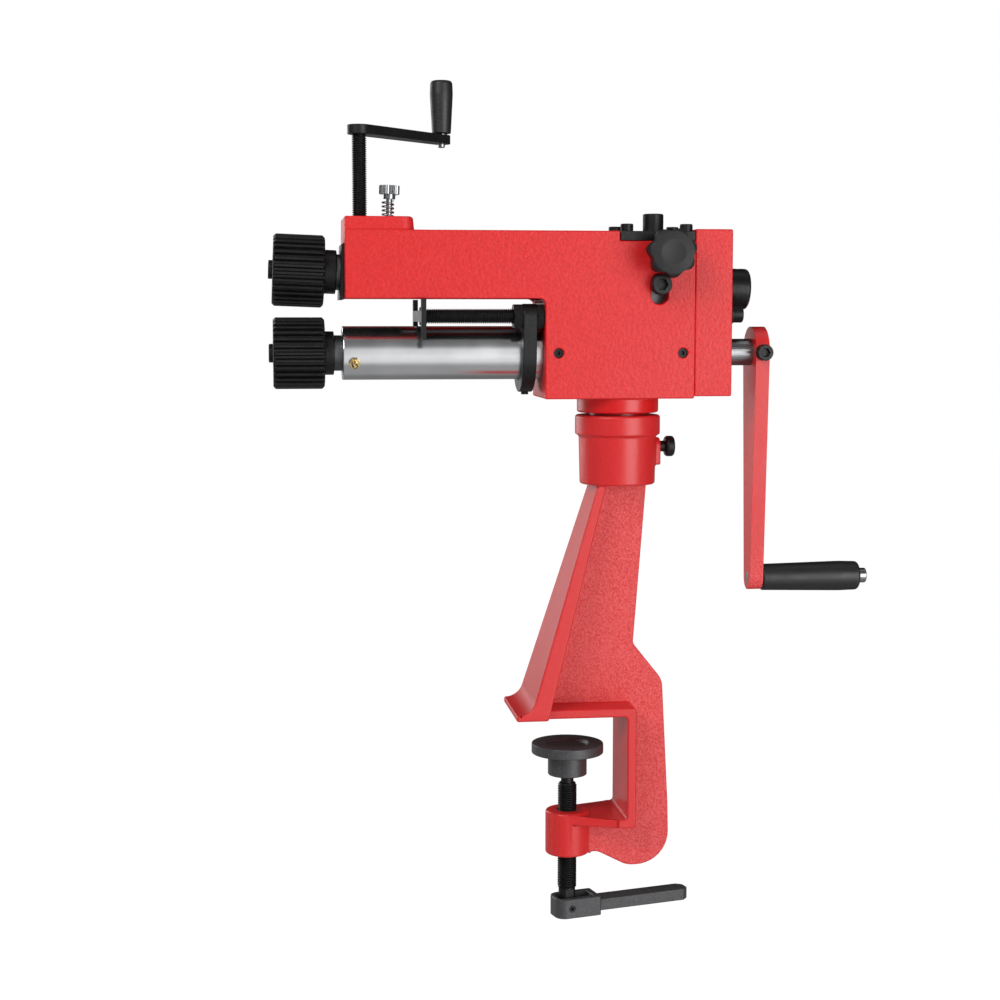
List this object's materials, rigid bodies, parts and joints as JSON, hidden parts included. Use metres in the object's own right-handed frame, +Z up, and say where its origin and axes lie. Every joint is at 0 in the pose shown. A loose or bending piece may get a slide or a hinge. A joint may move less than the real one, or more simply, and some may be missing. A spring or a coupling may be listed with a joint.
{
  "type": "bead roller",
  "caption": "Hand-cranked bench bead roller: geared roll shafts in a throated head that swivels in a C-clamp stand.",
  "frame": {"origin": "on the underside of the upper jaw, at the clamp screw's axis, where the bench top's surface lies", "axes": "+X from the rolls to the crank, +Y away from the operator's side, +Z up"},
  "size_m": [0.4986, 0.1522, 0.6998],
  "materials": {
    "red_casting_paint": "satin red enamel over fine-grained sand casting",
    "black_oxide_steel": "black oxide, satin, lightly oiled",
    "black_plastic": "moulded black plastic",
    "ground_steel": "turned and ground bright steel",
    "zinc_plated_steel": "bright zinc plate",
    "bearing_bronze": "turned bearing bronze",
    "brass": "turned brass",
    "machined_iron": "machined iron, grey"
  },
  "bodies": {
    "stand": {"stand_casting": "red_casting_paint"},
    "socket_lock": {"socket_lock_screw": "black_oxide_steel"},
    "head": {"head_casting": "red_casting_paint", "head_spigot": "ground_steel", "rear_cover": "red_casting_paint", "cover_screws": "black_oxide_steel", "lower_barrel": "ground_steel", "grease_nipple": "brass", "barrel_front_bush": "machined_iron", "lower_rear_bush": "bearing_bronze", "cover_bush": "bearing_bronze", "bearing_set_screws": "black_oxide_steel", "bridge_plate": "black_oxide_steel", "bridge_screws": "black_oxide_steel", "return_spring": "zinc_plated_steel"},
    "star_knob": {"star_knob": "black_plastic", "star_knob_stud": "zinc_plated_steel"},
    "pivot_adjuster": {"pivot_adjust_screw": "black_oxide_steel"},
    "rocker": {"front_block": "black_oxide_steel", "front_block_bush": "machined_iron", "rear_block": "machined_iron", "rear_block_bush": "bearing_bronze", "trunnion_screws": "black_oxide_steel", "spring_stud": "zinc_plated_steel"},
    "upper_shaft": {"upper_shaft": "ground_steel", "upper_roll": "black_oxide_steel", "upper_roll_screw": "black_oxide_steel", "upper_spacer": "black_oxide_steel", "upper_gear": "machined_iron", "upper_keys": "ground_steel", "rear_collar": "black_oxide_steel", "rear_collar_screw": "black_oxide_steel"},
    "crank": {"lower_shaft": "ground_steel", "lower_roll": "black_oxide_steel", "lower_roll_screw": "black_oxide_steel", "lower_spacer": "black_oxide_steel", "lower_gear": "machined_iron", "lower_keys": "ground_steel", "crank_arm": "red_casting_paint", "crank_arm_screw": "black_oxide_steel", "crank_pin": "zinc_plated_steel"},
    "crank_grip": {"crank_grip": "black_plastic"},
    "thrust_button": {"thrust_button": "ground_steel"},
    "pressure_screw": {"pressure_screw": "black_oxide_steel", "pressure_crank": "black_oxide_steel", "pressure_grip_pin": "zinc_plated_steel"},
    "pressure_grip": {"pressure_grip": "black_plastic"},
    "gauge_carriage": {"gauge_lug": "black_oxide_steel", "gauge_lug_screw": "black_oxide_steel", "gauge_nuts": "black_oxide_steel"},
    "gauge_rod": {"gauge_rod": "black_oxide_steel", "gauge_fork": "black_oxide_steel"},
    "clamp_pad": {"clamp_pad": "black_oxide_steel"},
    "clamp_screw": {"clamp_screw": "black_oxide_steel", "clamp_lever_pin": "black_oxide_steel"},
    "clamp_lever": {"clamp_lever": "black_oxide_steel"}
  },
  "joints": [
    {"name": "socket_lock_turn", "type": "hinge", "parent": "stand", "child": "socket_lock", "pos_m": [0.0808, 0, 0.2205], "axis": [1, 0, 0], "range_deg": [0, 360]},
    {"name": "head_swivel", "type": "hinge", "parent": "stand", "child": "head", "pos_m": [0.0408, 0, 0.24], "axis": [0, 0, 1], "continuous": true},
    {"name": "star_knob_turn", "type": "hinge", "parent": "head", "child": "star_knob", "pos_m": [0.0727, -0.055, 0.3776], "axis": [0, -1, 0], "range_deg": [0, 360]},
    {"name": "pivot_adjuster_turn", "type": "hinge", "parent": "head", "child": "pivot_adjuster", "pos_m": [0.0695, 0, 0.4], "axis": [0, 0, 1], "range_deg": [0, 360]},
    {"name": "rocker_tilt", "type": "hinge", "parent": "head", "child": "rocker", "pos_m": [0.068, 0, 0.3527], "axis": [0, -1, 0], "range_deg": [0, 2.14], "stiffness_Nm_per_rad": 375, "springref_deg": -1.15, "deforming": ["return_spring"]},
    {"name": "upper_shaft_spin", "type": "hinge", "parent": "rocker", "child": "upper_shaft", "pos_m": [0.068, 0, 0.3527], "axis": [0.9992, 0, -0.0387], "continuous": true},
    {"name": "crank_turn", "type": "hinge", "parent": "head", "child": "crank", "pos_m": [0.14, 0, 0.298], "axis": [1, 0, 0], "continuous": true},
    {"name": "crank_grip_spin", "type": "hinge", "parent": "crank", "child": "crank_grip", "pos_m": [0.2, 0, 0.1095], "axis": [1, 0, 0], "continuous": true},
    {"name": "thrust_travel", "type": "slide", "parent": "head", "child": "thrust_button", "axis": [0, 0, -1], "range_m": [0, 0.00888]},
    {"name": "pressure_screw_turn", "type": "hinge", "parent": "thrust_button", "child": "pressure_screw", "pos_m": [-0.1703, 0, 0.44], "axis": [0, 0, -1], "range_deg": [0, 1823]},
    {"name": "pressure_grip_spin", "type": "hinge", "parent": "pressure_screw", "child": "pressure_grip", "pos_m": [-0.09665, 0.07762, 0.5], "axis": [0, 0, 1], "continuous": true},
    {"name": "gauge_carriage_slide", "type": "slide", "parent": "head", "child": "gauge_carriage", "axis": [-1, 0, 0], "range_m": [0, 0.043]},
    {"name": "gauge_rod_slide", "type": "slide", "parent": "gauge_carriage", "child": "gauge_rod", "axis": [-1, 0, 0], "range_m": [0, 0.012]},
    {"name": "clamp_pad_travel", "type": "slide", "parent": "stand", "child": "clamp_pad", "axis": [0, 0, 1], "range_m": [-0.02801, 0.01801]},
    {"name": "clamp_screw_turn", "type": "hinge", "parent": "clamp_pad", "child": "clamp_screw", "pos_m": [0, 0, -0.1], "axis": [0, 0, 1], "range_deg": [-5040, 3240]},
    {"name": "clamp_lever_tilt", "type": "hinge", "parent": "clamp_screw", "child": "clamp_lever", "pos_m": [0, 0, -0.16675], "axis": [-0.2419, 0.9703, 0], "range_deg": [-2, 7]}
  ],
  "couplings": [
    {"joint": "upper_shaft_spin", "follows": "crank_turn", "ratio": -1},
    {"joint": "rocker_tilt", "follows": "pressure_screw_turn", "ratio": 0.0011684},
    {"joint": "thrust_travel", "follows": "pressure_screw_turn", "m_per_rad": 0.00027852},
    {"joint": "clamp_pad_travel", "follows": "clamp_screw_turn", "m_per_rad": 0.00031831}
  ]
}
